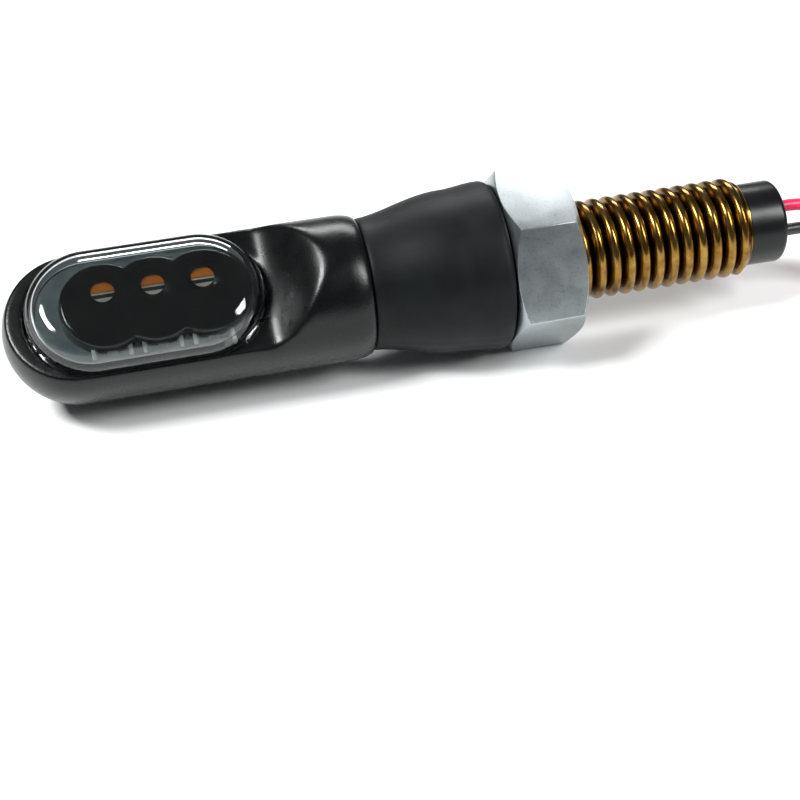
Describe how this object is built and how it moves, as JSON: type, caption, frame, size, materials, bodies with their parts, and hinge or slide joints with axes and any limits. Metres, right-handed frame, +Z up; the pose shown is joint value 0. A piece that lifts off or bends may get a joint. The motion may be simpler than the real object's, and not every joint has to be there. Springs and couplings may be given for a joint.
{
  "type": "turn signal indicator",
  "caption": "Slim motorcycle LED turn signal with a smoked lens, a flexible rubber stem, a hollow threaded stud with a lock nut and two leads.",
  "frame": {"origin": "under the middle of the lamp, on the surface it lies on; the leads beyond the bushing aren't counted", "axes": "+X along the stud towards the leads, +Z up; the lens looks up and towards -Y, 60 degrees above the level"},
  "size_m": [0.1447, 0.0197, 0.0172],
  "materials": {
    "shell": "black, fine texture, semi-gloss",
    "smoked_lens": "clear smoked, polished",
    "seal": "matte",
    "black_trim": "dark, glossy",
    "reflector_grey": "pale grey, glossy",
    "board": "solder mask, satin",
    "lamp": "amber chip on a pale package",
    "component": "dark, satin",
    "resin": "cast, glossy",
    "ferrule_metal": "turned",
    "stem_rubber": "matte, dark grey",
    "brass": "rolled thread, bright",
    "nut_metal": "plated, satin with bright edges",
    "bushing_plastic": "black, soft, semi-gloss",
    "red_insulation": "smooth insulation, semi-gloss",
    "black_insulation": "smooth insulation, semi-gloss",
    "tie_plastic": "nylon",
    "sleeve_plastic": "translucent vinyl",
    "terminal_metal": "plated brass"
  },
  "bodies": {
    "mount": {"stud": "brass", "bushing": "bushing_plastic", "red_core_lead": "red_insulation", "black_core_lead": "black_insulation", "red_wire": "red_insulation", "black_wire": "black_insulation", "red_coil": "red_insulation", "black_coil": "black_insulation", "near_tie": "tie_plastic", "far_tie": "tie_plastic", "red_sleeve": "sleeve_plastic", "black_sleeve": "sleeve_plastic", "red_bullet": "terminal_metal", "black_bullet": "terminal_metal"},
    "nut": {"lock_nut": "nut_metal"},
    "neck": {"stem": "stem_rubber"},
    "head": {"housing": "shell", "lens": "smoked_lens", "lens_gasket": "seal", "bezel": "black_trim", "reflector": "reflector_grey", "circuit_board": "board", "led_inner": "lamp", "led_middle": "lamp", "led_outer": "lamp", "resistor_inner": "component", "resistor_middle": "component", "resistor_outer": "component", "diode": "component", "resin_plug": "resin", "ferrule": "ferrule_metal"}
  },
  "joints": [
    {"name": "nut_slide", "type": "slide", "parent": "mount", "child": "nut", "axis": [1, 0, 0], "range_m": [0, 0.018]},
    {"name": "stem_sway", "type": "hinge", "parent": "mount", "child": "neck", "pos_m": [0.00515, 0, 0.00862], "axis": [0, 0.866, 0.5], "range_deg": [-15, 15], "stiffness_Nm_per_rad": 0.3, "deforming": ["stem", "red_core_lead", "black_core_lead"]},
    {"name": "stem_dip", "type": "hinge", "parent": "neck", "child": "head", "pos_m": [0.00025, 0, 0.00862], "axis": [0, -0.5, 0.866], "range_deg": [-15, 15], "stiffness_Nm_per_rad": 0.3, "deforming": ["stem", "red_core_lead", "black_core_lead"]}
  ]
}
